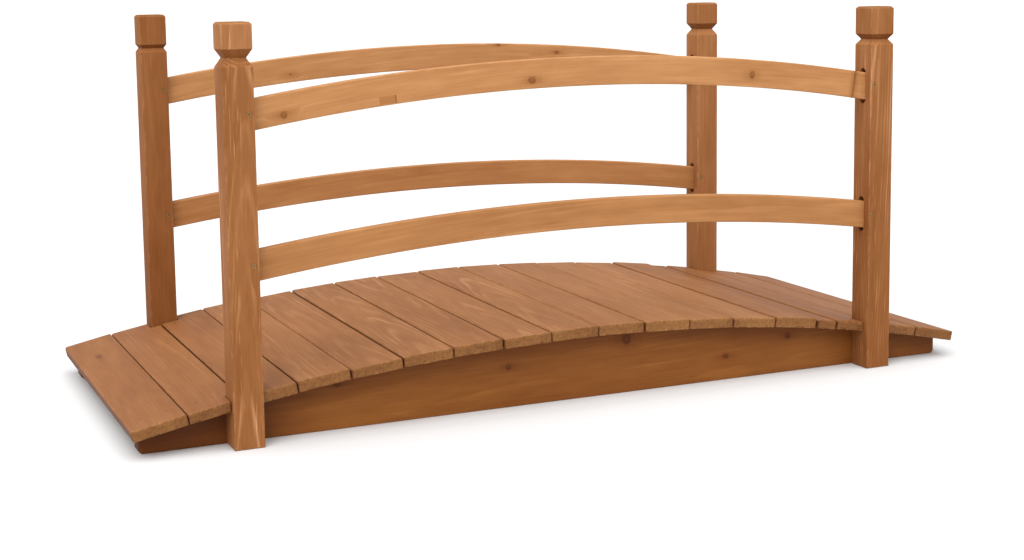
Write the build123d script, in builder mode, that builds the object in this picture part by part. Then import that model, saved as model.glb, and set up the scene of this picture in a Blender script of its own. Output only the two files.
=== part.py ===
from build123d import *
import math
import os

# Arched garden bridge of stained softwood. Millimetres, +Z up, +X along the bridge,
# -Y towards the front. The origin is on the ground under the middle of the bridge.

# Overall sizes, taken over the deck ends, the post faces and the post tops
bridge_length = 1400.0
bridge_width = 600.0
bridge_height = 600.0

# Deck
deck_end_height = 42.0
deck_crown_height = 119.0
plank_thickness = 16.0
plank_length = 580.0
plank_width = 80.0
plank_gap = 0.75
plank_edge_radius = 2.0
filler_plank_least_width = 20.0
planks_right_of_filler = 3

# Side beams, standing on the ground under the planks
beam_thickness = 28.0
beam_end_setback = 16.0
beam_corner_radius = 4.0

# Posts
post_size = 44.0
post_end_distance = 164.0
post_edge_chamfer = 1.2
post_top_chamfer = 3.0
groove_base_height = 538.0
groove_depth = 7.5
groove_half_height_front_left = 12.5
groove_half_height_front_right = 10.0
groove_half_height_back_left = 7.5
groove_half_height_back_right = 11.0
notch_clearance = 1.5

# Rails
rail_thickness = 15.0
rail_height = 44.0
rail_edge_radius = 1.5
upper_rail_crown = 535.0
upper_rail_radius = 3150.0
lower_rail_crown = 317.0
lower_rail_radius = 3600.0

# Round-ended slots in the posts that take the rail ends
slot_length = 58.0
slot_depth = 20.0
slot_clearance = 0.25
tenon_end_clearance = 4.0

# Positions that follow from the sizes above
post_x = bridge_length / 2 - post_end_distance
post_y = (bridge_width - post_size) / 2
post_inner_x = post_x - post_size / 2
beam_outer_y = bridge_width / 2 - post_size
beam_y = beam_outer_y - beam_thickness / 2
slot_width = rail_thickness + 2 * slot_clearance
tenon_length = slot_depth - tenon_end_clearance
rail_end_x = post_inner_x + tenon_length

# The deck follows one circle through both ends and the crown
deck_sagitta = deck_crown_height - deck_end_height
deck_radius = ((bridge_length / 2) ** 2 + deck_sagitta ** 2) / (2 * deck_sagitta)
deck_center_z = deck_crown_height - deck_radius
beam_top_radius = deck_radius - plank_thickness

# Full planks and equal gaps run along that circle, and one narrow plank fills what is left
deck_arc = 2 * deck_radius * math.asin(bridge_length / 2 / deck_radius)
plank_pitch = plank_width + plank_gap
full_planks = int((deck_arc - filler_plank_least_width) // plank_pitch)
filler_plank_width = deck_arc - full_planks * plank_pitch
filler_plank_number = full_planks - planks_right_of_filler + 1

parts = []


def arc_height(x, crown, radius):
    return crown - radius + math.sqrt(radius ** 2 - x ** 2)


# Side beam: flat base, short upright ends and an arched top edge
def make_beam(label, y):
    end_x = bridge_length / 2 - beam_end_setback
    crown = deck_crown_height - plank_thickness
    end_height = arc_height(end_x, crown, beam_top_radius)
    with BuildPart() as beam:
        with BuildSketch(Plane.XZ.offset(-y)):
            with BuildLine():
                Line((end_x, end_height), (end_x, 0))
                Line((end_x, 0), (-end_x, 0))
                Line((-end_x, 0), (-end_x, end_height))
                ThreePointArc((-end_x, end_height), (0, crown), (end_x, end_height))
            make_face()
            lower_corners = vertices().group_by(Axis.Y)[0]
            fillet(lower_corners, beam_corner_radius)
        extrude(amount=beam_thickness / 2, both=True)
    beam.part.label = label
    parts.append(beam.part)


# Post: square shaft, V groove, cube-shaped head with chamfered top, two slots
def make_post(label, x, y, groove_half_height):
    inward = -1 if x > 0 else 1
    neck_height = groove_base_height + groove_half_height
    head_base_height = neck_height + groove_half_height
    neck_size = post_size - 2 * groove_depth
    sections = [
        (0, post_size),
        (groove_base_height, post_size),
        (neck_height, neck_size),
        (head_base_height, post_size),
        (bridge_height - post_top_chamfer, post_size),
        (bridge_height, post_size - 2 * post_top_chamfer),
    ]
    with BuildPart() as post:
        for z, size in sections:
            with BuildSketch(Plane.XY.offset(z)):
                with Locations((x, y)):
                    Rectangle(size, size)
                chamfer(vertices(), post_edge_chamfer * size / post_size)
        loft(ruled=True)
        for crown, radius in rail_arcs:
            slot_z = arc_height(post_inner_x, crown, radius) - rail_height / 2
            slot_plane = Plane(
                origin=(x + inward * post_size / 2, y, slot_z),
                x_dir=(0, 0, 1),
                z_dir=(inward, 0, 0),
            )
            with BuildSketch(slot_plane):
                SlotOverall(slot_length, slot_width)
            extrude(amount=-slot_depth, mode=Mode.SUBTRACT)
    post.part.label = label
    parts.append(post.part)


# Rail: arched band with eased edges, ends rounded to fit the post slots
def make_rail(label, y, crown, radius):
    lower_radius = radius - rail_height
    end_top = arc_height(rail_end_x, crown, radius)
    end_bottom = arc_height(rail_end_x, crown - rail_height, lower_radius)
    slot_z = arc_height(post_inner_x, crown, radius) - rail_height / 2
    with BuildPart() as rail:
        with BuildSketch(Plane.XZ.offset(-y)):
            with BuildLine():
                Line((rail_end_x, end_top), (rail_end_x, end_bottom))
                ThreePointArc((rail_end_x, end_bottom), (0, crown - rail_height), (-rail_end_x, end_bottom))
                Line((-rail_end_x, end_bottom), (-rail_end_x, end_top))
                ThreePointArc((-rail_end_x, end_top), (0, crown), (rail_end_x, end_top))
            make_face()
        extrude(amount=rail_thickness / 2, both=True)
        long_edges = edges().filter_by(GeomType.CIRCLE)
        fillet(long_edges, rail_edge_radius)
        for side in (-1, 1):
            shoulder_plane = Plane(
                origin=(side * post_inner_x, y, slot_z),
                x_dir=(0, 0, 1),
                z_dir=(side, 0, 0),
            )
            with BuildSketch(shoulder_plane):
                Rectangle(slot_length * 2, slot_width * 2)
                SlotOverall(slot_length - 2 * slot_clearance, rail_thickness, mode=Mode.SUBTRACT)
            extrude(amount=tenon_length * 2, mode=Mode.SUBTRACT)
    rail.part.label = label
    parts.append(rail.part)


# Plank: flat board laid tangent to the beam tops, notched where it meets a post
def make_plank(label, angle, width):
    x = deck_radius * math.sin(angle)
    z = deck_center_z + deck_radius * math.cos(angle)
    top_plane = Plane(
        origin=(x, 0, z),
        x_dir=(math.cos(angle), 0, -math.sin(angle)),
        z_dir=(math.sin(angle), 0, math.cos(angle)),
    )
    notch_size = post_size + 2 * notch_clearance
    notch_y = beam_outer_y - notch_clearance + notch_size / 2
    with BuildPart() as plank:
        with BuildSketch(top_plane):
            Rectangle(width, plank_length)
        extrude(amount=-plank_thickness)
        fillet(edges().filter_by(Axis.Y), plank_edge_radius)
        if abs(abs(x) - post_x) < (width + notch_size) / 2:
            with BuildSketch(Plane.XY):
                with Locations((math.copysign(post_x, x), notch_y), (math.copysign(post_x, x), -notch_y)):
                    Rectangle(notch_size, notch_size)
            extrude(amount=bridge_height, mode=Mode.SUBTRACT)
    plank.part.label = label
    parts.append(plank.part)


rail_arcs = [(upper_rail_crown, upper_rail_radius), (lower_rail_crown, lower_rail_radius)]

make_beam("beam_front", -beam_y)
make_beam("beam_back", beam_y)

make_post("post_front_left", -post_x, -post_y, groove_half_height_front_left)
make_post("post_front_right", post_x, -post_y, groove_half_height_front_right)
make_post("post_back_left", -post_x, post_y, groove_half_height_back_left)
make_post("post_back_right", post_x, post_y, groove_half_height_back_right)

make_rail("rail_front_upper", -post_y, upper_rail_crown, upper_rail_radius)
make_rail("rail_front_lower", -post_y, lower_rail_crown, lower_rail_radius)
make_rail("rail_back_upper", post_y, upper_rail_crown, upper_rail_radius)
make_rail("rail_back_lower", post_y, lower_rail_crown, lower_rail_radius)

# Planks from the left end to the right, each placed by its middle on the deck circle
travel = -deck_arc / 2
for number in range(1, full_planks + 2):
    width = filler_plank_width if number == filler_plank_number else plank_width
    make_plank(f"plank_{number:02d}", (travel + width / 2) / deck_radius, width)
    travel += width + plank_gap

os.makedirs("parts", exist_ok=True)
for part in parts:
    export_step(part, f"parts/{part.label}.step")
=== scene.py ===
"""Arched garden bridge of stained softwood, dressed over its CAD frame.

Laid out as an add-on, and run as a script: main() registers the classes and calls each operator
once. Metres, +Z up, +X along the bridge, -Y towards the front.
"""

import math
import random

import bmesh
import bpy
from mathutils import Matrix, Vector


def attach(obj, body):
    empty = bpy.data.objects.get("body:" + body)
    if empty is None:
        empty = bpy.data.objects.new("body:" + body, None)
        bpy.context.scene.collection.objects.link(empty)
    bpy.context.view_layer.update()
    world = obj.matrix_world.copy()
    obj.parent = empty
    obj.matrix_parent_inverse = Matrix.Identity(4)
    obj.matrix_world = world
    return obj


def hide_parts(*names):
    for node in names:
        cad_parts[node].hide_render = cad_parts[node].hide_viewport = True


bl_info = {
    "name": "Garden Bridge",
    "version": (1, 0, 0),
    "blender": (4, 5, 0),
    "location": "3D View > Sidebar > Bridge",
    "description": "Builds the visible pieces of an arched garden bridge of stained fir",
    "category": "Add Mesh",
}

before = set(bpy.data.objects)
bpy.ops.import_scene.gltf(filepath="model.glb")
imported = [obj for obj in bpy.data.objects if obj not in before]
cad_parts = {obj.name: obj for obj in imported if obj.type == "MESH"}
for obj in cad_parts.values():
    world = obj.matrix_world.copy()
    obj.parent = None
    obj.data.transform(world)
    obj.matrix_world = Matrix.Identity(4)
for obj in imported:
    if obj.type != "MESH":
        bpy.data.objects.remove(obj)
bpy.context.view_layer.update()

MM = 0.001

# Sizes that the CAD model sets. The scene follows them and never changes them.
LENGTH = 1400 * MM
DECK_END = 42 * MM
DECK_CROWN = 119 * MM
PLANK_THICK = 16 * MM
PLANK_LONG = 580 * MM
PLANK_WIDE = 80 * MM
PLANK_GAP = 0.75 * MM
PLANKS_AFTER_FILLER = 3
POST = 44 * MM
POST_X = 536 * MM
POST_Y = 278 * MM
HEIGHT = 600 * MM
GROOVE_BASE = 538 * MM
NOTCH_GAP = 1.5 * MM
END_PLANKS = (1, 18)
BEAM_Y = 242 * MM
BEAM_THICK = 28 * MM
BEAM_END = 684 * MM
RAIL_THICK = 15 * MM
RAIL_TALL = 44 * MM
RAIL_END = 530 * MM
SLOT_LONG = 58 * MM
SLOT_WIDE = 15.5 * MM
SLOT_DEEP = 20 * MM
# crown height and radius of the top edge, for the upper and the lower rail
RAIL_ARCS = {"upper": (535 * MM, 3150 * MM), "lower": (317 * MM, 3600 * MM)}

# Half the height of the groove below each post head, and its depth, which differ from post to post.
# The CAD model's grooves are 7.5 mm deep, and those of front_right and back_left are 20 and 15 mm
# high. These are closer to the photo.
GROOVES = {
    "front_left": (12.5 * MM, 7.5 * MM),
    "front_right": (8.6 * MM, 6.5 * MM),
    "back_left": (6.2 * MM, 4.2 * MM),
    "back_right": (11 * MM, 7.2 * MM),
}

# how light each plank's stain came out, from the left; painted shade also makes the planks at the left end
# darker, where less light reaches them
PLANK_STAIN_AND_SHADE = (
    *(0.88, 0.88, 0.9, 0.92, 0.95, 0.93, 0.97, 0.98, 0.95),
    *(1.02, 1.05, 1.02, 1.04, 0.99, 0.8, 0.84, 0.88, 0.85),
)
# how strongly each plank's year rings show
PLANK_FIGURES = (0.4, 0.8, 0.6, 0.8, 1.2, 1.5, 1.4, 0.9, 1.2, 0.7, 0.5, 0.7, 0.6, 0.6, 0.7, 0.8, 1.0, 0.8)
# one plank stands a little proud, and the narrow one after it, which fills the length, lies low
PROUD_PLANK = 14
NARROW_PLANK = 15
# The front end of one plank is splintered beside the post. Each splinter has a face, 1 for the top
# and -1 for the underside, then half its width, its depth and its place across, in millimetres.
SPLINTERED_PLANK = 16
SPLINTERS = ((1, 6, 3.4, 5), (1, 4, 2, -8), (1, 6, 2.8, -21), (-1, 6, 3, -27), (-1, 7, 2.4, 0))

# A knot is where it lies along, across and through its board, then half its length and half its
# width. This one is so far away that it never shows.
NO_KNOT = (9, 0, 0, 1, 1)

# the screws' distance from the posts' inner faces, and from the middle of the rails
SCREW_INSET = 7.5 * MM
SCREW_RISE = 2 * MM

# The photo's point of view in metres, how the camera turns in radians, and its lens: the focal length
# as a part of the picture's width, and the shift that keeps the posts nearly upright.
CAMERA_SPOT = (-1.1001, -2.5064, 0.6607)
CAMERA_YAW, CAMERA_PITCH, CAMERA_ROLL = 0.4152, 0.1238, -0.0131
CAMERA_LENS = 1639 / 1024
CAMERA_SHIFT = -0.1
SENSOR_WIDE = 36
# where each lamp shines from, how wide it looks in degrees, and its strength
LAMPS = {"overhead": ((-0.2, -0.3, 1.0), 75, 3.1), "key": ((-0.75, -0.8, 0.8), 35, 0.8)}
FLOOR_HALF = 150
FLOOR_DROP = 0.4 * MM

DECK_RISE = DECK_CROWN - DECK_END
DECK_RADIUS = ((LENGTH / 2) ** 2 + DECK_RISE**2) / (2 * DECK_RISE)
DECK_CENTRE = DECK_CROWN - DECK_RADIUS


def linear(code):
    """An sRGB hex colour as the linear colour that the shaders take."""
    channels = [int(code[i : i + 2], 16) / 255 for i in (0, 2, 4)]
    return [c / 12.92 if c <= 0.04045 else ((c + 0.055) / 1.055) ** 2.4 for c in channels]


class BridgeSizes(bpy.types.PropertyGroup):
    """Small sizes that only the visible pieces have."""

    plank_ease: bpy.props.FloatProperty(
        name="Plank arris", description="Rounding along the planks' edges", default=3.0 * MM, unit="LENGTH"
    )
    rail_ease: bpy.props.FloatProperty(
        name="Rail arris", description="Rounding along the rails' edges", default=2.0 * MM, unit="LENGTH"
    )
    post_ease: bpy.props.FloatProperty(
        name="Post arris", description="Rounding along the posts' edges", default=0.9 * MM, unit="LENGTH"
    )
    beam_ease: bpy.props.FloatProperty(
        name="Beam arris", description="Rounding along the beams' edges", default=1.2 * MM, unit="LENGTH"
    )
    plank_play: bpy.props.FloatProperty(
        name="Plank unevenness",
        description="How far a plank's top may lie above or below its neighbours",
        default=0.8 * MM,
        unit="LENGTH",
    )
    screw_head: bpy.props.FloatProperty(
        name="Screw head",
        description="Diameter of the screw heads in the posts",
        default=6.2 * MM,
        unit="LENGTH",
    )
    nail_head: bpy.props.FloatProperty(
        name="Nail head",
        description="Diameter of the nail heads in the planks",
        default=3.2 * MM,
        unit="LENGTH",
    )


class BridgeColours(bpy.types.PropertyGroup):
    """Colours of the stained wood, the steel and the floor."""

    deck: bpy.props.FloatVectorProperty(
        name="Deck stain", description="Stain on the planks", subtype="COLOR", default=linear("8C5A2F")
    )
    beam: bpy.props.FloatVectorProperty(
        name="Beam stain", description="Stain on the side beams", subtype="COLOR", default=linear("814C1C")
    )
    post: bpy.props.FloatVectorProperty(
        name="Post stain", description="Stain on the posts", subtype="COLOR", default=linear("8F5D37")
    )
    rail: bpy.props.FloatVectorProperty(
        name="Rail stain", description="Stain on the rails", subtype="COLOR", default=linear("B07C4D")
    )
    nail: bpy.props.FloatVectorProperty(
        name="Nails", description="Dulled steel of the nails", subtype="COLOR", default=linear("8C7C6A")
    )
    screw: bpy.props.FloatVectorProperty(
        name="Screws", description="Yellow zinc on the screws", subtype="COLOR", default=linear("BFA06A")
    )
    floor: bpy.props.FloatVectorProperty(
        name="Floor", description="Plain pale floor", subtype="COLOR", default=linear("D2D2D2")
    )


def add_node(tree, kind, *inputs, named=None, out=0, **settings):
    """Adds one node, sets it up, fills or links its inputs in order or by name, and gives an output."""
    made = tree.nodes.new("ShaderNode" + kind)
    for name, value in settings.items():
        setattr(made, name, value)
    for key, value in [*enumerate(inputs), *(named or {}).items()]:
        if isinstance(value, bpy.types.NodeSocket):
            tree.links.new(value, made.inputs[key])
        elif value is not None:
            made.inputs[key].default_value = value
    return made.outputs[out] if made.outputs else made


# The marks in the wood: length along the grain and width across it in millimetres, detail, roughness.
# Single fibres are 0.04 mm wide; they are drawn about 1 mm wide here so that they show at all.
FIR_MARKS = {
    "slow": (590, 100, 2.0, 0.5),
    "quick": (62, 12, 2.0, 0.6),
    "fade": (150, 18, 2.0, 0.5),
    "fibre": (100, 1.1, 3.0, 0.6),
    "streak": (165, 3.3, 2.0, 0.6),
    "blotch": (310, 66, 3.0, 0.55),
    "patch": (64, 14, 3.0, 0.55),
    "pale": (77, 2.4, 1.0, 0.5),
    "chip": (17, 5, 2.0, 0.6),
}

# a map range that starts and ends softly
EASED = {"interpolation_type": "SMOOTHSTEP"}


def knot_masks(tree, count):
    """Masks of all knots: the core, the broken dark ring round it, and the stained wood about it.

    Distances are counted in each knot's half sizes, which lay_grain takes in millimetres.
    """
    whole = [None, None, None]
    for i in range(count):
        away = add_node(tree, "Attribute", attribute_name=f"knot_{i}", out="Vector")
        ragged = add_node(tree, "TexNoise", away, named={"Scale": 1.4, "Detail": 2.0})
        patchy = add_node(tree, "TexNoise", away, named={"Scale": 0.9, "Detail": 1.0})
        reach = add_node(tree, "VectorMath", away, operation="LENGTH", out="Value")
        reach = add_node(tree, "Math", ragged, reach, operation="ADD")
        core = add_node(tree, "MapRange", reach, 1.15, 1.8, 1.0, 0.0, **EASED)
        outer = add_node(tree, "MapRange", reach, 0.85, 1.35, **EASED)
        broken = add_node(tree, "MapRange", patchy, 0.4, 0.6, 0.1, 1.0, **EASED)
        rim = add_node(tree, "Math", core, outer, operation="MULTIPLY")
        rim = add_node(tree, "Math", rim, broken, operation="MULTIPLY")
        trail = add_node(tree, "VectorMath", away, (0.45, 1.0, 1.0), operation="MULTIPLY")
        trail = add_node(tree, "VectorMath", trail, operation="LENGTH", out="Value")
        trail = add_node(tree, "Math", ragged, 1.2, trail, operation="MULTIPLY_ADD")
        halo = add_node(tree, "MapRange", trail, 0.6, 3.4, 1.0, 0.0, interpolation_type="SMOOTHERSTEP")
        for k, mask in enumerate((core, rim, halo)):
            whole[k] = mask if i == 0 else add_node(tree, "Math", whole[k], mask, operation="MAXIMUM")
    return whole


def plug_masks(tree, number):
    """Masks of a rectangular plug glued into one face, and of the dark glue line at its right end."""
    away = add_node(tree, "Attribute", attribute_name=f"knot_{number}", out="Vector")
    along = add_node(tree, "SeparateXYZ", away, out="X")
    # depth counts double, so the plug ends inside the board
    sides = add_node(tree, "VectorMath", away, (1.0, 1.0, 2.0), operation="MULTIPLY")
    sides = add_node(tree, "VectorMath", sides, operation="ABSOLUTE")
    across, up, deep = add_node(tree, "SeparateXYZ", sides).node.outputs
    reach = add_node(tree, "Math", across, up, operation="MAXIMUM")
    reach = add_node(tree, "Math", reach, deep, operation="MAXIMUM")
    inlay = add_node(tree, "MapRange", reach, 0.9, 1.0, 1.0, 0.0)
    glue = add_node(tree, "MapRange", along, 0.72, 0.86)
    return inlay, add_node(tree, "Math", glue, inlay, operation="MULTIPLY")


def late_wood(tree, radius, ring, late_share, fade, figure):
    """The late wood of the year rings: stronger in some years, and fading in and out along the board."""
    phase = add_node(tree, "Math", radius, ring, operation="DIVIDE")
    late = add_node(tree, "ValToRGB", add_node(tree, "Math", phase, operation="FRACT"))
    stops = late.node.color_ramp.elements
    stops[0].color = stops[1].color = (0.15, 0.15, 0.15, 1)
    for position, level in (
        (0.12, 0.0),
        (1 - 1.9 * late_share, 0.1),
        (1 - 0.8 * late_share, 1.0),
        (1 - 0.35 * late_share, 0.9),
    ):
        stops.new(position).color = (level, level, level, 1)
    year = add_node(tree, "Math", phase, operation="FLOOR")
    year = add_node(tree, "TexWhiteNoise", named={"W": year}, noise_dimensions="1D")
    year = add_node(tree, "MapRange", year, 0.0, 1.0, 0.2, 1.0)
    fade = add_node(tree, "MapRange", fade, 0.4, 0.64, 0.12, 1.1, **EASED)
    for part in (year, fade, figure):
        late = add_node(tree, "Math", late, part, operation="MULTIPLY")
    return late


def board_faces(tree, place, half):
    """Depths under a board's edges and faces, and masks of its sawn ends and of its sharp corners."""
    depth = add_node(tree, "VectorMath", place, operation="ABSOLUTE")
    depth = add_node(tree, "VectorMath", half, depth, operation="SUBTRACT")
    from_end, from_edge, from_face = add_node(tree, "SeparateXYZ", depth).node.outputs
    arris = add_node(tree, "Math", from_edge, from_face, operation="ADD")
    for side in (from_edge, from_face):
        corner = add_node(tree, "Math", from_end, side, operation="ADD")
        arris = add_node(tree, "Math", arris, corner, operation="MINIMUM")
    end = add_node(tree, "MapRange", from_end, 0.4 * MM, 1.3 * MM, 1.0, 0.0, **EASED)
    rubbed = add_node(tree, "MapRange", arris, 0.8 * MM, 3.4 * MM, 1.0, 0.0, **EASED)
    return from_edge, from_face, end, rubbed


def stained_fir(
    name,
    stain,
    *,
    ring,
    late_share,
    late_gain,
    wander,
    pale_gain,
    mottle,
    wear,
    gloss,
    knots=0,
    plug=False,
    painted_gap_shade=0.0,
    painted_top_shade=0.0,
):
    """Planed fir under a thin brown stain.

    The soft early wood drinks the stain and the hard late wood stays paler, so the year rings show as
    thin light lines. The rings are cylinders round the heart of the log, so faces, edges and ends agree.
    Thin stain over planed wood leaves it dull, with a faint sheen where light grazes it.

    ring is the width of a year and late_share the part of it that is late wood. wander is how far the
    heart of the log strays. late_gain, pale_gain, mottle and wear say how much lighter or darker the late
    wood, the pale flecks, the blotches and the rubbed edges are, and gloss how strong the sheen is. The
    last knot is drawn as a plug if there is one. The last two numbers are painted shade: one darkens the
    lower flanks, where a neighbouring board shades them, and one the top edge, where the deck shades it.
    """
    material = bpy.data.materials.new(name)
    material.use_nodes = True
    tree = material.node_tree
    tree.nodes.clear()
    grain = add_node(tree, "Attribute", attribute_name="grain", out="Vector")
    place = add_node(tree, "Attribute", attribute_name="place", out="Vector")
    half = add_node(tree, "Attribute", attribute_name="half", out="Vector")
    tone = add_node(tree, "Attribute", attribute_name="tone", out="Fac")
    figure = add_node(tree, "Attribute", attribute_name="figure", out="Fac")
    marks = {}
    for mark, (long, wide, detail, rough) in FIR_MARKS.items():
        spread = (1 / (long * MM), 1 / (wide * MM), 1 / (wide * MM))
        where = add_node(tree, "VectorMath", grain, spread, operation="MULTIPLY")
        levels = {"Scale": 1.0, "Detail": detail, "Roughness": rough}
        out = "Color" if mark in ("slow", "quick") else 0
        marks[mark] = add_node(tree, "TexNoise", where, named=levels, out=out)

    # the heart of the log wanders slowly, and by 1.6 mm quickly
    bent = grain
    for mark, stray in (("slow", wander), ("quick", 1.6 * MM)):
        drift = add_node(tree, "VectorMath", marks[mark], (0.5, 0.5, 0.5), operation="SUBTRACT")
        bent = add_node(tree, "VectorMath", drift, (0.0, stray, stray), bent, operation="MULTIPLY_ADD")
    flat = add_node(tree, "VectorMath", bent, (0.0, 1.0, 1.0), operation="MULTIPLY")
    radius = add_node(tree, "VectorMath", flat, operation="LENGTH", out="Value")
    core, rim, halo = knot_masks(tree, knots - 1 if plug else knots)
    if knots:
        # the rings swing round a knot
        radius = add_node(tree, "Math", halo, 3.2 * ring, radius, operation="MULTIPLY_ADD")
    late = late_wood(tree, radius, ring, late_share, marks["fade"], figure)

    from_edge, from_face, end, rubbed = board_faces(tree, place, half)
    chipped = add_node(tree, "MapRange", marks["chip"], 0.44, 0.62, **EASED)
    worn = add_node(tree, "Math", rubbed, chipped, operation="MULTIPLY")
    pale = add_node(tree, "MapRange", marks["pale"], 0.66, 0.78, **EASED)
    pale = add_node(tree, "Math", pale, figure, operation="MULTIPLY")
    levels = {"Scale": 1 / (5.3 * MM), "Detail": 4.0, "Roughness": 0.6}
    sawn = add_node(tree, "TexNoise", place, named=levels)
    sawn_end = add_node(tree, "Math", end, sawn, operation="MULTIPLY")

    # how much light the stained wood gives back: one part for each mark, each even about the middle
    parts = {"fibre": 0.26, "streak": 0.24, "blotch": mottle, "patch": 0.3}
    value = 0.95 - sum(parts.values()) / 2
    for mark, part in parts.items():
        value = add_node(tree, "Math", marks[mark], part, value, operation="MULTIPLY_ADD")
    # late wood is pale on the faces and dark on the sawn ends
    turned = add_node(tree, "Math", end, -late_gain - 0.3, late_gain, operation="MULTIPLY_ADD")
    for mask, gain in ((pale, pale_gain), (worn, wear), (late, turned), (sawn_end, 0.9), (end, -0.53)):
        value = add_node(tree, "Math", mask, gain, value, operation="MULTIPLY_ADD")
    # painted shade, and the dark marks of knots and plugs, each with how much it darkens
    painted_shade_and_marks = []
    # painted shade low on the flanks, where a neighbouring board shades them
    if painted_gap_shade:
        low = add_node(tree, "MapRange", from_edge, 0.4 * MM, 2.4 * MM, 1.0, 0.0, **EASED)
        under = add_node(tree, "MapRange", from_face, 0.5 * MM, 3.0 * MM, **EASED)
        painted_shade_and_marks.append((add_node(tree, "Math", low, under, operation="MULTIPLY"), painted_gap_shade))
    # painted shade under the top edge of the beams, where the deck above shades them
    if painted_top_shade:
        painted_shade_and_marks.append((add_node(tree, "MapRange", from_edge, 3 * MM, 34 * MM, 1.0, 0.0, **EASED), painted_top_shade))
    if knots:
        painted_shade_and_marks += [(halo, 0.2), (core, 0.28), (rim, 0.32)]
    if plug:
        inlay, glue = plug_masks(tree, knots - 1)
        painted_shade_and_marks += [(inlay, 0.2), (glue, 0.3)]
    for mask, amount in painted_shade_and_marks:
        loss = add_node(tree, "Math", value, mask, operation="MULTIPLY")
        value = add_node(tree, "Math", loss, -amount, value, operation="MULTIPLY_ADD")
    value = add_node(tree, "Math", value, tone, operation="MULTIPLY")
    value = add_node(tree, "Math", value, 0.2, operation="MAXIMUM")

    # thick stain is redder and thin stain yellower, and sawn ends are a little greener
    green = add_node(tree, "Math", value, 1.4, operation="POWER")
    blue = add_node(tree, "Math", value, 1.95, operation="POWER")
    colour = add_node(tree, "CombineXYZ", value, green, blue)
    change = (-0.1, -0.03, -0.12)
    tint = add_node(tree, "VectorMath", end, change, (1.0, 1.0, 1.0), operation="MULTIPLY_ADD")
    colour = add_node(tree, "VectorMath", colour, tint, operation="MULTIPLY")
    colour = add_node(tree, "VectorMath", colour, tuple(stain), operation="MULTIPLY")

    relief = add_node(tree, "Math", marks["fibre"], 0.5, operation="MULTIPLY")
    relief = add_node(tree, "Math", late, 0.5, relief, operation="MULTIPLY_ADD")
    relief = add_node(tree, "Math", sawn_end, 2.5, relief, operation="MULTIPLY_ADD")
    bump = add_node(tree, "Bump", named={"Height": relief, "Strength": 0.5, "Distance": 0.3 * MM})
    rough = add_node(tree, "MapRange", late, 0.0, 1.0, 0.64, 0.52)
    surface = {"Base Color": colour, "Roughness": rough, "Normal": bump}
    surface.update({"IOR": 1.45, "Specular IOR Level": gloss})
    add_node(tree, "OutputMaterial", add_node(tree, "BsdfPrincipled", named=surface))
    return material


def plated_steel(name, tint, rough):
    """Zinc-plated steel, pressed, tumbled and left out of doors: a small dot with a dull, cloudy glint."""
    material = bpy.data.materials.new(name)
    material.use_nodes = True
    tree = material.node_tree
    tree.nodes.clear()
    where = add_node(tree, "TexCoord", out="Object")
    cloud = add_node(tree, "TexNoise", where, named={"Scale": 1 / (0.4 * MM), "Detail": 2.0})
    shade = add_node(tree, "MapRange", cloud, 0.3, 0.7, 0.75, 1.0)
    colour = add_node(tree, "VectorMath", shade, tuple(tint), operation="MULTIPLY")
    dull = add_node(tree, "MapRange", cloud, 0.3, 0.7, rough, rough + 0.15)
    surface = {"Base Color": colour, "Metallic": 1.0, "Roughness": dull}
    add_node(tree, "OutputMaterial", add_node(tree, "BsdfPrincipled", named=surface))
    return material


def made_object(name, mesh, material, slot, *nodes):
    """Puts a mesh in the scene on the bridge's one body, standing for its CAD node."""
    made = bpy.data.objects.new(name, mesh)
    bpy.context.scene.collection.objects.link(made)
    mesh.materials.clear()
    mesh.materials.append(material)
    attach(made, "root")
    if nodes:
        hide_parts(*nodes)
    return made


def prism(outline, depth, place):
    """A solid from a closed outline, pushed along its local third axis and put in place by a matrix."""
    shape = bmesh.new()
    lower = [shape.verts.new(place @ Vector((u, v, -depth / 2))) for u, v in outline]
    upper = [shape.verts.new(place @ Vector((u, v, depth / 2))) for u, v in outline]
    shape.faces.new(list(reversed(lower)))
    shape.faces.new(upper)
    for i in range(len(outline)):
        j = (i + 1) % len(outline)
        shape.faces.new((lower[i], lower[j], upper[j], upper[i]))
    bmesh.ops.recalc_face_normals(shape, faces=shape.faces)
    mesh = bpy.data.meshes.new("shape")
    shape.to_mesh(mesh)
    shape.free()
    return mesh


def oblong(a, b):
    """Outline of a rectangle; a and b are half its sizes."""
    return [(-a, -b), (a, -b), (a, b), (-a, b)]


def rounded(a, b, r, steps=5):
    """Outline of a rectangle with rounded corners; a and b are half its sizes."""
    outline = []
    for quarter in range(4):
        for k in range(steps + 1):
            t = math.pi / 2 * (quarter + k / steps)
            across = (a - r) * (1 if quarter in (0, 3) else -1)
            up = (b - r) * (1 if quarter in (0, 1) else -1)
            outline.append((across + r * math.cos(t), up + r * math.sin(t)))
    return outline


def lofted(loops):
    """A solid skinned over closed loops of points, with its two ends capped."""
    shape = bmesh.new()
    loops = [[shape.verts.new(point) for point in loop] for loop in loops]
    for low, high in zip(loops, loops[1:]):
        for i in range(len(low)):
            j = (i + 1) % len(low)
            shape.faces.new((low[i], low[j], high[j], high[i]))
    shape.faces.new(loops[0])
    shape.faces.new(list(reversed(loops[-1])))
    bmesh.ops.recalc_face_normals(shape, faces=shape.faces)
    mesh = bpy.data.meshes.new("shape")
    shape.to_mesh(mesh)
    shape.free()
    return mesh


def joined(meshes):
    """Several meshes as one."""
    shape = bmesh.new()
    for mesh in meshes:
        shape.from_mesh(mesh)
    whole = bpy.data.meshes.new("shape")
    shape.to_mesh(whole)
    shape.free()
    return whole


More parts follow.
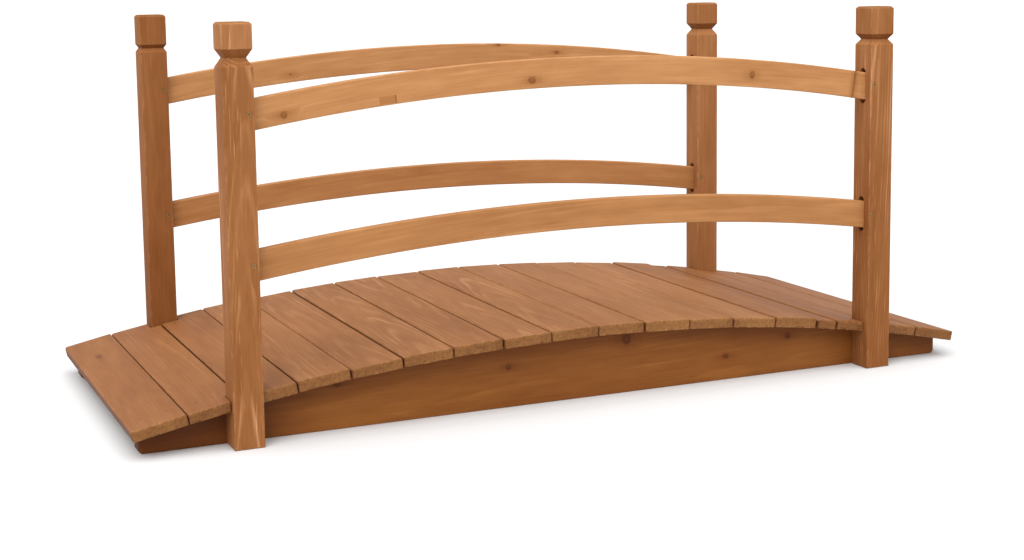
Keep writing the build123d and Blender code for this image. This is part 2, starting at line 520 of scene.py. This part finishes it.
def finished(mesh, cuts=(), ease=0.0, segments=3, angle=30, pockets=(), pocket_ease=0.0):
    """Cuts a mesh, rounds its sharp edges, then cuts small pockets into it."""
    body = bpy.data.objects.new("blank", mesh)
    bpy.context.scene.collection.objects.link(body)
    tools = []

    def round_over(width, count, limit):
        bevel = body.modifiers.new("ease", "BEVEL")
        bevel.width = width
        bevel.segments = count
        bevel.limit_method = "ANGLE"
        bevel.angle_limit = math.radians(limit)

    def cut_away(shapes):
        tool = bpy.data.objects.new("tool", joined(shapes))
        bpy.context.scene.collection.objects.link(tool)
        tools.append(tool)
        cut = body.modifiers.new("cut", "BOOLEAN")
        cut.operation = "DIFFERENCE"
        cut.solver = "EXACT"
        cut.use_self = True
        cut.object = tool

    if cuts:
        cut_away(cuts)
    if ease:
        round_over(ease, segments, angle)
    if pockets:
        cut_away(pockets)
        if pocket_ease:
            round_over(pocket_ease, 2, 60)
    bpy.context.view_layer.update()
    seen = body.evaluated_get(bpy.context.evaluated_depsgraph_get())
    result = bpy.data.meshes.new_from_object(seen)
    for used in (body, *tools):
        bpy.data.objects.remove(used)
    shape = bmesh.new()
    shape.from_mesh(result)
    bmesh.ops.dissolve_degenerate(shape, dist=0.001 * MM, edges=shape.edges)
    shape.to_mesh(result)
    shape.free()
    for polygon in result.polygons:
        polygon.use_smooth = True
    result.set_sharp_from_angle(angle=math.radians(28))
    # flat faces keep their own normals, so the light turns only along the rounded edges
    body = bpy.data.objects.new("blank", result)
    bpy.context.scene.collection.objects.link(body)
    weigh = body.modifiers.new("weigh", "WEIGHTED_NORMAL")
    weigh.keep_sharp = True
    bpy.context.view_layer.update()
    result = bpy.data.meshes.new_from_object(body.evaluated_get(bpy.context.evaluated_depsgraph_get()))
    bpy.data.objects.remove(body)
    return result


def lay_grain(mesh, local, half, heart, lean, start, tone=1.0, knots=(), placing=None, figure=1.0):
    """Stores where each point lies in its board and in the log it was sawn from.

    local gives (along, across, through) in the board; heart is the log's centre under the board's
    middle and lean how fast it drifts along the board, which draws the arches in the grain. tone is how
    light the stain came out, together with any painted shade, and figure how strongly the year rings show,
    each a number or a function of the point. placing replaces local where faces are told apart. Each of
    the knots is as in NO_KNOT.
    """
    places, grains, halves, tones, figures = [], [], [], [], []
    rings = [[] for _ in knots]
    for vertex in mesh.vertices:
        s, u, w = local(vertex.co)
        places.extend(placing(vertex.co) if placing else (s, u, w))
        tones.append(tone(vertex.co) if callable(tone) else tone)
        figures.append(figure(vertex.co) if callable(figure) else figure)
        halves.extend(half)
        grains.extend((s + start, u - heart[0] - lean[0] * s, w - heart[1] - lean[1] * s))
        for row, (ks, ku, kw, long, wide) in zip(rings, knots):
            row.extend(((s - ks) / long, (u - ku) / wide, (w - kw) / wide * 0.35))
    for name, values in [("place", places), ("half", halves), ("grain", grains)]:
        mesh.attributes.new(name, "FLOAT_VECTOR", "POINT").data.foreach_set("vector", values)
    for i, row in enumerate(rings):
        mesh.attributes.new(f"knot_{i}", "FLOAT_VECTOR", "POINT").data.foreach_set("vector", row)
    for name, values in [("tone", tones), ("figure", figures)]:
        mesh.attributes.new(name, "FLOAT", "POINT").data.foreach_set("value", values)


def arc_z(x, crown, radius):
    """Height of an arc over x, from the height of its crown."""
    return crown - radius + math.sqrt(radius**2 - x**2)


def disc(radius, depth, place, sides=20):
    """A short round bar with its middle at a place."""
    turns = [2 * math.pi * i / sides for i in range(sides)]
    return prism([(radius * math.cos(t), radius * math.sin(t)) for t in turns], depth, place)


def facing(point, normal, up=(0, 0, 1)):
    """A matrix whose third axis is the normal, at a point."""
    w = Vector(normal).normalized()
    u = Vector(up).cross(w)
    u = u.normalized() if u.length > 1e-6 else Vector((1, 0, 0))
    v = w.cross(u)
    turn = Matrix((u, v, w)).transposed().to_4x4()
    return Matrix.Translation(point) @ turn


def screw_spot(x, y, inward, crown, radius):
    """Where a screw enters a post's front face, over the middle of a rail."""
    z = arc_z(POST_X - POST / 2, crown, radius) - RAIL_TALL / 2
    return Vector((x + inward * (POST / 2 - SCREW_INSET), y - POST / 2, z + SCREW_RISE))


def plank_places():
    """Number, angle and width of each plank, from the left end."""
    arc = 2 * DECK_RADIUS * math.asin(LENGTH / 2 / DECK_RADIUS)
    pitch = PLANK_WIDE + PLANK_GAP
    full = int((arc - 20 * MM) // pitch)
    filler = arc - full * pitch
    travel = -arc / 2
    for number in range(1, full + 2):
        width = filler if number == full - PLANKS_AFTER_FILLER + 1 else PLANK_WIDE
        yield number, (travel + width / 2) / DECK_RADIUS, width
        travel += width + PLANK_GAP


class BRIDGE_OT_beams(bpy.types.Operator):
    """Two side beams with a flat base and an arched top"""

    bl_idname = "bridge.beams"
    bl_label = "Beams"

    def execute(self, context):
        look = context.scene.bridge_colours
        size = context.scene.bridge_sizes
        crown, radius = DECK_CROWN - PLANK_THICK, DECK_RADIUS - PLANK_THICK
        marks = {
            "front": [
                (-392 * MM, 22 * MM, 14 * MM, 6 * MM, 3.5 * MM),
                (-118 * MM, 18 * MM, 14 * MM, 5 * MM, 4.5 * MM),
                (86 * MM, 41 * MM, 14 * MM, 8 * MM, 9 * MM),
                (268 * MM, -6 * MM, 14 * MM, 6 * MM, 4 * MM),
                (387 * MM, 15 * MM, 14 * MM, 5 * MM, 5 * MM),
            ],
            "back": [
                (-320 * MM, 12 * MM, -14 * MM, 6 * MM, 5 * MM),
                (20 * MM, 35 * MM, -14 * MM, 6 * MM, 6 * MM),
                (210 * MM, 0 * MM, -14 * MM, 6 * MM, 5 * MM),
                (400 * MM, 10 * MM, -14 * MM, 5 * MM, 5 * MM),
                (560 * MM, 0 * MM, 14 * MM, 5 * MM, 5 * MM),
            ],
        }
        material = stained_fir(
            "planed_fir_beam",
            look.beam,
            ring=4.2 * MM,
            late_share=0.3,
            late_gain=0.16,
            wander=22 * MM,
            pale_gain=0.05,
            mottle=0.66,
            wear=0.25,
            gloss=0.22,
            knots=5,
            # painted shade along the top, under the deck's overhang
            painted_top_shade=0.26,
        )
        # the lower corners are sawn off
        foot = 4.2 * MM
        inner = BEAM_END - foot
        stations = [(-BEAM_END, foot), *((inner * (i / 32 - 1), 0.0) for i in range(65)), (BEAM_END, foot)]
        middle, tallest = 45 * MM, 200 * MM
        for side, y, start in (("front", -BEAM_Y, 3), ("back", BEAM_Y, 4)):
            loops = []
            for x, low in stations:
                top = arc_z(x, crown, radius)
                section = rounded(BEAM_THICK / 2, (top - low) / 2, size.beam_ease)
                loops.append([(x, y + u, (top + low) / 2 + v) for u, v in section])
            mesh = finished(lofted(loops), ease=size.beam_ease, segments=2, angle=50)

            def local(p, y=y):
                return p.x, p.z - middle, y - p.y

            # the second number follows the arched top edge, under which shade is painted where the deck
            # above shades the beam
            def under_top(p, y=y):
                top = arc_z(min(max(p.x, -BEAM_END), BEAM_END), crown, radius)
                return p.x, tallest - (top - p.z), y - p.y

            # painted shade at the ends of the beams, deepest at the left ends, where the deck and the posts
            # shade them
            def stain_and_painted_shade(p):
                near = min(max((abs(p.x) - 400 * MM) / (160 * MM), 0.0), 1.0)
                return 1.0 - (0.36 if p.x < 0 else 0.12) * near * near * (3 - 2 * near)

            lay_grain(
                mesh,
                local,
                (BEAM_END, tallest, BEAM_THICK / 2),
                (-28 * MM, -65 * MM),
                (0.012, 0.02),
                start,
                stain_and_painted_shade,
                marks[side],
                under_top,
            )
            made_object(f"beam_{side}_sawn", mesh, material, "beams", f"beam_{side}")
        return {"FINISHED"}


class BRIDGE_OT_posts(bpy.types.Operator):
    """Four square posts with a V groove, a cube-shaped head and round-ended slots"""

    bl_idname = "bridge.posts"
    bl_label = "Posts"

    def execute(self, context):
        look = context.scene.bridge_colours
        size = context.scene.bridge_sizes
        material = stained_fir(
            "planed_fir_post",
            look.post,
            ring=3.6 * MM,
            late_share=0.22,
            late_gain=0.62,
            wander=15 * MM,
            pale_gain=0.5,
            mottle=0.46,
            wear=0.25,
            gloss=0.04,
        )
        # heart of the log, its lean, where the log starts, lightness of the stain in mid-height, how much
        # it changes in a metre of height, which is painted shade darkening the post towards its foot, and
        # strength of the rings
        logs = {
            "front_left": ((3 * MM, -22 * MM), (0.012, -0.03), 1.0, 0.95, 0.1, 1.3),
            "front_right": ((-30 * MM, -18 * MM), (0.025, 0.016), 2.3, 0.95, 0.45, 1.2),
            "back_left": ((10 * MM, -60 * MM), (0.0, 0.02), 3.6, 0.84, 0.4, 0.25),
            "back_right": ((-45 * MM, -28 * MM), (0.004, 0.008), 5.1, 1.09, 0.2, 0.4),
        }
        # the heads took the stain a little differently from the shafts
        heads = {"front_left": 1.22, "front_right": 1.0, "back_left": 0.92, "back_right": 1.03}
        bevel = 3 * MM
        r = SLOT_WIDE / 2
        straight = SLOT_LONG / 2 - r
        slot = []
        for turn, up in ((0, straight), (1, -straight)):
            for i in range(13):
                t = math.pi * (turn + i / 12)
                slot.append((r * math.cos(t), up + r * math.sin(t)))
        for name, (half_groove, groove_deep) in GROOVES.items():
            depth, side = name.split("_")
            x = POST_X * (1 if side == "right" else -1)
            y = POST_Y * (-1 if depth == "front" else 1)
            inward = -1 if side == "right" else 1
            neck = GROOVE_BASE + half_groove
            brow = neck + half_groove
            rings = [
                (0.0, POST),
                (GROOVE_BASE, POST),
                (neck, POST - 2 * groove_deep),
                (brow, POST),
                (HEIGHT - bevel, POST),
                (HEIGHT, POST - 2 * bevel),
            ]
            loops = []
            for z, wide in rings:
                loops.append([(x + u, y + v, z) for u, v in oblong(wide / 2, wide / 2)])
            cutters = []
            for crown, radius in RAIL_ARCS.values():
                z = arc_z(POST_X - POST / 2, crown, radius) - RAIL_TALL / 2
                mouth = Vector((x + inward * POST / 2, y, z))
                cutters.append(prism(slot, 2 * SLOT_DEEP, facing(mouth, (inward, 0, 0))))
                screw = facing(screw_spot(x, y, inward, crown, radius), (0, -1, 0))
                cutters.append(disc(size.screw_head / 2 + 0.7 * MM, 4 * MM, screw))
            mesh = finished(lofted(loops), ease=size.post_ease, pockets=cutters, pocket_ease=0.35 * MM)
            heart, lean, start, tone, rise, figure = logs[name]

            def local(p, x=x, y=y):
                return p.z - HEIGHT / 2, p.x - x, y - p.y

            # painted shade under the head: the groove's upper slope is dark where the head shades it
            def stain_and_painted_shade(p, shaft=tone, rise=rise, head=heads[name], neck=neck, brow=brow):
                if p.z < neck - 0.1 * MM:
                    # painted shade: the shaft is darker towards its foot
                    return shaft + rise * (p.z - HEIGHT / 2)
                # painted shade in the groove, below the head
                return head if p.z > brow + 0.1 * MM else 0.64 * head

            def ring_strength(p, shaft=figure, neck=neck):
                return 0.45 * shaft if p.z > neck else shaft

            half = (HEIGHT / 2, POST / 2, POST / 2)
            lay_grain(mesh, local, half, heart, lean, start, stain_and_painted_shade, figure=ring_strength)
            made_object(f"post_{name}_planed", mesh, material, "posts", f"post_{name}")
        return {"FINISHED"}


class BRIDGE_OT_rails(bpy.types.Operator):
    """Four arched rails, two on each side"""

    bl_idname = "bridge.rails"
    bl_label = "Rails"

    def execute(self, context):
        look = context.scene.bridge_colours
        size = context.scene.bridge_sizes
        material = stained_fir(
            "planed_fir_rail",
            look.rail,
            ring=3.4 * MM,
            late_share=0.3,
            late_gain=0.12,
            wander=14 * MM,
            pale_gain=0.0,
            mottle=0.42,
            wear=0.12,
            gloss=0.22,
            knots=5,
            plug=True,
        )
        marks = {
            ("front", "upper"): [
                (-475 * MM, -9 * MM, 7.5 * MM, 5.5 * MM, 5 * MM),
                (-87 * MM, -9 * MM, 7.5 * MM, 6.5 * MM, 5 * MM),
                (300 * MM, -2 * MM, 7.5 * MM, 5 * MM, 6 * MM),
                (497 * MM, 0.0, 7.5 * MM, 2.2 * MM, 45 * MM),
                (-318 * MM, -14 * MM, 7.5 * MM, 14 * MM, 6 * MM),
            ],
            ("front", "lower"): [NO_KNOT] * 5,
            ("back", "upper"): [
                (100 * MM, 21 * MM, 7.5 * MM, 5 * MM, 4 * MM),
                (220 * MM, 8 * MM, 7.5 * MM, 5 * MM, 3 * MM),
                (-300 * MM, -8 * MM, -7.5 * MM, 6 * MM, 5 * MM),
                (180 * MM, 4 * MM, -7.5 * MM, 5 * MM, 4 * MM),
                NO_KNOT,
            ],
            ("back", "lower"): [NO_KNOT] * 5,
        }
        # lightness of the stain, and where the log starts
        logs = {
            ("front", "upper"): (0.99, 7.3),
            ("front", "lower"): (0.86, 9.1),
            ("back", "upper"): (1.0, 7.3 + 4.2),
            ("back", "lower"): (0.88, 9.1 + 4.2),
        }
        for depth, y in (("front", -POST_Y), ("back", POST_Y)):
            for level, (crown, radius) in RAIL_ARCS.items():
                centre = crown - radius
                section = rounded(RAIL_THICK / 2, RAIL_TALL / 2, size.rail_ease)
                reach = radius - RAIL_TALL / 2
                loops = []
                for i in range(65):
                    t = math.asin((RAIL_END - 5 * MM) / reach) * (i / 32 - 1)
                    turned = [(u, (reach + v) * math.sin(t), (reach + v) * math.cos(t)) for u, v in section]
                    loops.append([(along, y + u, centre + up) for u, along, up in turned])
                mesh = finished(lofted(loops))

                def local(p, y=y, centre=centre, radius=radius):
                    turn = math.atan2(p.x, p.z - centre)
                    reach = math.hypot(p.x, p.z - centre)
                    return turn * radius, reach - radius + RAIL_TALL / 2, y - p.y

                tone, start = logs[(depth, level)]
                lay_grain(
                    mesh,
                    local,
                    (RAIL_END, RAIL_TALL / 2, RAIL_THICK / 2),
                    (-16 * MM, -52 * MM),
                    (0.02, 0.008),
                    start,
                    tone,
                    marks[(depth, level)],
                )
                made_object(f"rail_{depth}_{level}_sawn", mesh, material, "rails", f"rail_{depth}_{level}")
        return {"FINISHED"}


def post_notches(x, reach):
    """Blocks that cut room for the posts out of both ends of a plank."""
    middle = math.copysign(POST_X, x)
    inner = POST_Y - POST / 2 - NOTCH_GAP
    outer = inner + 80 * MM
    blocks = []
    for sy in (-1, 1):
        outline = [
            (middle - reach, sy * inner),
            (middle + reach, sy * inner),
            (middle + reach, sy * outer),
            (middle - reach, sy * outer),
        ]
        blocks.append(prism(outline, HEIGHT, Matrix.Identity(4)))
    return blocks


def corner_rounders(out, a, b, place):
    """Blocks that round off the outer corners of an end plank, the back one more."""
    blocks = []
    for sy, r in ((-1, 4 * MM), (1, 9 * MM)):
        outline = [
            (out * (a - r), sy * (b + r)),
            (out * (a + r), sy * (b + r)),
            (out * (a + r), sy * (b - r)),
        ]
        for i in range(9):
            t = math.pi / 2 * i / 8
            outline.append((out * (a - r + r * math.cos(t)), sy * (b - r + r * math.sin(t))))
        blocks.append(prism(outline, 100 * MM, place))
    return blocks


def saw_chips(rng, sy, a, b, thick, place, splinters):
    """Blocks that chip the edges of a plank's end, each with its own face, width, depth and place."""
    chips = []
    for _ in range(5):
        face = rng.choice((-1, -1, 1))
        wide = rng.uniform(5, 14) * MM
        deep = rng.uniform(0.5, 0.9 if face > 0 else 1.8) * MM
        chips.append((face, wide, deep, rng.uniform(-0.8, 0.8) * a))
    chips += [(face, wide * MM, deep * MM, u * MM) for face, wide, deep, u in splinters]
    # half the size of a block, whose flat side makes the cut
    h = 8 * MM
    blocks = []
    for face, wide, deep, u in chips:
        out = Vector((0, sy, face)).normalized()
        spot = Vector((u, sy * b, face * thick / 2)) + out * (h - deep)
        chip = facing(spot, out, (1, 0, 0)) @ Matrix.Rotation(rng.uniform(-0.08, 0.08), 4, "X")
        outline = [(-h, -wide), (h, -wide * 0.8), (h, wide * 0.9), (-h, wide)]
        blocks.append(prism(outline, 2 * h, place @ chip))
    return blocks


class BRIDGE_OT_planks(bpy.types.Operator):
    """Deck planks across the beams, notched round the posts, with nails"""

    bl_idname = "bridge.planks"
    bl_label = "Planks"

    def execute(self, context):
        look = context.scene.bridge_colours
        size = context.scene.bridge_sizes
        material = stained_fir(
            "planed_fir_deck",
            look.deck,
            ring=3.0 * MM,
            late_share=0.28,
            late_gain=0.3,
            wander=15 * MM,
            pale_gain=0.22,
            mottle=0.56,
            wear=0.3,
            gloss=0.34,
            knots=1,
            # painted shade low on the flanks, between neighbouring planks
            painted_gap_shade=0.45,
        )
        steel = plated_steel("dulled_steel_nail", look.nail, 0.35)
        rng = random.Random(11)
        notch = POST / 2 + NOTCH_GAP
        b = PLANK_LONG / 2
        nails = []
        for number, angle, width in plank_places():
            lift = rng.uniform(-1, 1) * size.plank_play
            slim = rng.uniform(0.5, 2.5) * MM
            skew = rng.uniform(-0.7, 0.7) * MM / PLANK_LONG
            slip = rng.uniform(-2.2, 2.2) * MM
            tilt = rng.uniform(-0.006, 0.006)
            tone = PLANK_STAIN_AND_SHADE[number - 1] * rng.uniform(0.97, 1.03)
            if number in END_PLANKS:
                lift, slim, skew, tilt = 0.0, 0.2 * MM, 0.0, 0.0
            elif number == PROUD_PLANK:
                lift = 0.8 * MM
            elif number == NARROW_PLANK:
                lift, slim = -1.8 * MM, 3.2 * MM
            normal = Vector((math.sin(angle), 0, math.cos(angle)))
            tangent = Vector((math.cos(angle), 0, -math.sin(angle)))
            thick = PLANK_THICK + lift
            middle = Vector((0, slip, DECK_CENTRE)) + normal * (DECK_RADIUS - PLANK_THICK + thick / 2)
            turn = Matrix((tangent, Vector((0, 1, 0)), normal)).transposed().to_4x4()
            uneven = Matrix.Rotation(skew, 4, "Z") @ Matrix.Rotation(tilt, 4, "Y")
            place = Matrix.Translation(middle) @ turn @ uneven
            a = (width - slim) / 2
            lengthwise = place @ Matrix(((1, 0, 0, 0), (0, 0, -1, 0), (0, 1, 0, 0), (0, 0, 0, 1)))
            blank = prism(rounded(a, thick / 2, size.plank_ease), PLANK_LONG, lengthwise)
            beside_post = abs(abs(middle.x) - POST_X) < width / 2 + notch
            cutters = post_notches(middle.x, notch) if beside_post else []
            pockets = []
            if number in END_PLANKS:
                pockets += corner_rounders(math.copysign(1, middle.x), a, b, place)
            for sy in (-1, 1):
                # the narrow plank has one nail at each end, and nails beside a post sit further in
                for su in (-1, 1) if width > 60 * MM else (0,):
                    u = su * (19 + rng.uniform(-3, 3)) * MM
                    v = sy * (BEAM_Y + rng.uniform(-5, 5) * MM)
                    if abs(abs((place @ Vector((u, v, 0))).x) - POST_X) < notch + 4 * MM:
                        v = sy * (BEAM_Y - 8 * MM)
                    hole = place @ Matrix.Translation((u, v, thick / 2))
                    nail = hole @ Matrix.Translation((0, 0, -0.75 * MM))
                    pockets.append(disc(size.nail_head / 2 + 0.25 * MM, 1.6 * MM, hole, 12))
                    nails.append(disc(size.nail_head / 2, 1.0 * MM, nail, 12))
                splinters = SPLINTERS if number == SPLINTERED_PLANK and sy < 0 else ()
                pockets += saw_chips(rng, sy, a, b, thick, place, splinters)
            mesh = finished(blank, cutters, ease=1.1 * MM, angle=50, pockets=pockets)

            def local(p, back=place.inverted()):
                q = back @ p
                return q.y, q.x, q.z

            heart = (rng.uniform(-30, 30) * MM, -rng.uniform(22, 80) * MM)
            lean = (rng.uniform(-0.02, 0.02), rng.choice((-1, 1)) * rng.uniform(0.006, 0.03))
            # plank 1 has a small knot, and painted shade lies along the low edge of the narrow plank, where
            # the proud plank beside it shades it
            knot = {
                1: (162 * MM, -3 * MM, thick / 2, 6 * MM, 4 * MM),
                # painted shade, drawn as a long dark knot along the edge
                NARROW_PLANK: (110 * MM, 2 * MM - a, thick / 2, 150 * MM, 4 * MM),
            }.get(number, NO_KNOT)
            lay_grain(
                mesh,
                local,
                (b, a, thick / 2),
                heart,
                lean,
                number * 1.37,
                tone,
                [knot],
                figure=PLANK_FIGURES[number - 1],
            )
            made_object(f"plank_{number:02d}_laid", mesh, material, "deck", f"plank_{number:02d}")
        made_object("deck_nails", finished(joined(nails)), steel, "deck")
        return {"FINISHED"}


class BRIDGE_OT_screws(bpy.types.Operator):
    """Screw heads that hold the rail ends in the posts"""

    bl_idname = "bridge.screws"
    bl_label = "Screws"

    def execute(self, context):
        look = context.scene.bridge_colours
        size = context.scene.bridge_sizes
        steel = plated_steel("yellow_zinc_screw", look.screw, 0.35)
        heads = []
        for depth in ("front", "back"):
            y = POST_Y * (-1 if depth == "front" else 1)
            for side in ("left", "right"):
                x = POST_X * (1 if side == "right" else -1)
                inward = -1 if side == "right" else 1
                for crown, radius in RAIL_ARCS.values():
                    face = screw_spot(x, y, inward, crown, radius)
                    seat = facing(face + Vector((0, 1.6 * MM, 0)), (0, -1, 0))
                    head = disc(size.screw_head / 2, 2.2 * MM, seat, 24)
                    # the arms of a real cross are 1 mm wide; drawn wider so that they show
                    arm, wide = size.screw_head * 0.38, 0.85 * MM
                    mouth = seat @ Matrix.Translation((0, 0, 1.0 * MM))
                    cross = [prism(oblong(*bar), 3.4 * MM, mouth) for bar in ((arm, wide), (wide, arm))]
                    heads.append(finished(head, cross, ease=0.15 * MM, segments=1))
        made_object("post_screws", joined(heads), steel, "posts")
        return {"FINISHED"}


class BRIDGE_OT_stage(bpy.types.Operator):
    """Pale floor, soft studio light and the camera"""

    bl_idname = "bridge.stage"
    bl_label = "Stage"

    def execute(self, context):
        look = context.scene.bridge_colours
        scene = context.scene
        shape = bmesh.new()
        shape.faces.new([shape.verts.new((u, v, -FLOOR_DROP)) for u, v in oblong(FLOOR_HALF, FLOOR_HALF)])
        mesh = bpy.data.meshes.new("floor")
        shape.to_mesh(mesh)
        shape.free()
        floor = bpy.data.objects.new("floor", mesh)
        scene.collection.objects.link(floor)
        paint = bpy.data.materials.new("plain_pale_floor")
        paint.use_nodes = True
        shader = paint.node_tree.nodes["Principled BSDF"]
        shader.inputs["Base Color"].default_value = (*look.floor, 1)
        shader.inputs["Roughness"].default_value = 0.9
        shader.inputs["Specular IOR Level"].default_value = 0.1
        mesh.materials.append(paint)

        # a white backdrop low down and a softer ceiling
        world = bpy.data.worlds.new("studio")
        world.use_nodes = True
        tree = world.node_tree
        toward = add_node(tree, "TexCoord", out="Generated")
        rise = add_node(tree, "SeparateXYZ", toward, out="Z")
        shade = add_node(tree, "MapRange", rise, 0.12, 0.4, 1.0, 0.7, **EASED)
        backdrop = tree.nodes["Background"]
        backdrop.inputs["Color"].default_value = (1.0, 1.0, 1.0, 1)
        tree.links.new(shade, backdrop.inputs["Strength"])
        scene.world = world
        for name, (spot, spread, power) in LAMPS.items():
            lamp = bpy.data.lights.new(name, "SUN")
            lamp.angle = math.radians(spread)
            lamp.energy = power
            holder = bpy.data.objects.new(name, lamp)
            scene.collection.objects.link(holder)
            holder.rotation_euler = (-Vector(spot)).to_track_quat("-Z", "Y").to_euler()

        level = math.cos(CAMERA_PITCH)
        ahead = Vector((math.sin(CAMERA_YAW), math.cos(CAMERA_YAW), 0))
        forward = ahead * level - Vector((0, 0, math.sin(CAMERA_PITCH)))
        right = Vector((math.cos(CAMERA_YAW), -math.sin(CAMERA_YAW), 0))
        up = right.cross(forward)
        right, up = (
            right * math.cos(CAMERA_ROLL) + up * math.sin(CAMERA_ROLL),
            up * math.cos(CAMERA_ROLL) - right * math.sin(CAMERA_ROLL),
        )
        lens = bpy.data.cameras.new("camera")
        lens.sensor_width = SENSOR_WIDE
        lens.lens = CAMERA_LENS * SENSOR_WIDE
        lens.shift_y = CAMERA_SHIFT
        camera = bpy.data.objects.new("camera", lens)
        scene.collection.objects.link(camera)
        turn = Matrix((right, up, -forward)).transposed().to_4x4()
        camera.matrix_world = Matrix.Translation(CAMERA_SPOT) @ turn
        scene.camera = camera
        scene.view_settings.view_transform = "Standard"
        return {"FINISHED"}


class BRIDGE_PT_panel(bpy.types.Panel):
    """Lists the bridge's pieces"""

    bl_idname = "BRIDGE_PT_panel"
    bl_label = "Garden bridge"
    bl_space_type = "VIEW_3D"
    bl_region_type = "UI"
    bl_category = "Bridge"

    def draw(self, context):
        for kind in PIECES:
            self.layout.operator(kind.bl_idname)
        for group in (context.scene.bridge_sizes, context.scene.bridge_colours):
            for name in group.bl_rna.properties.keys():
                if name not in ("rna_type", "name"):
                    self.layout.prop(group, name)


PIECES = (
    BRIDGE_OT_beams,
    BRIDGE_OT_posts,
    BRIDGE_OT_rails,
    BRIDGE_OT_planks,
    BRIDGE_OT_screws,
    BRIDGE_OT_stage,
)
CLASSES = (BridgeSizes, BridgeColours, *PIECES, BRIDGE_PT_panel)


def register():
    for kind in CLASSES:
        bpy.utils.register_class(kind)
    bpy.types.Scene.bridge_sizes = bpy.props.PointerProperty(type=BridgeSizes)
    bpy.types.Scene.bridge_colours = bpy.props.PointerProperty(type=BridgeColours)


def unregister():
    del bpy.types.Scene.bridge_colours
    del bpy.types.Scene.bridge_sizes
    for kind in reversed(CLASSES):
        bpy.utils.unregister_class(kind)


def main():
    register()
    bpy.ops.bridge.beams()
    bpy.ops.bridge.posts()
    bpy.ops.bridge.rails()
    bpy.ops.bridge.planks()
    bpy.ops.bridge.screws()
    bpy.ops.bridge.stage()


if __name__ == "__main__":
    main()
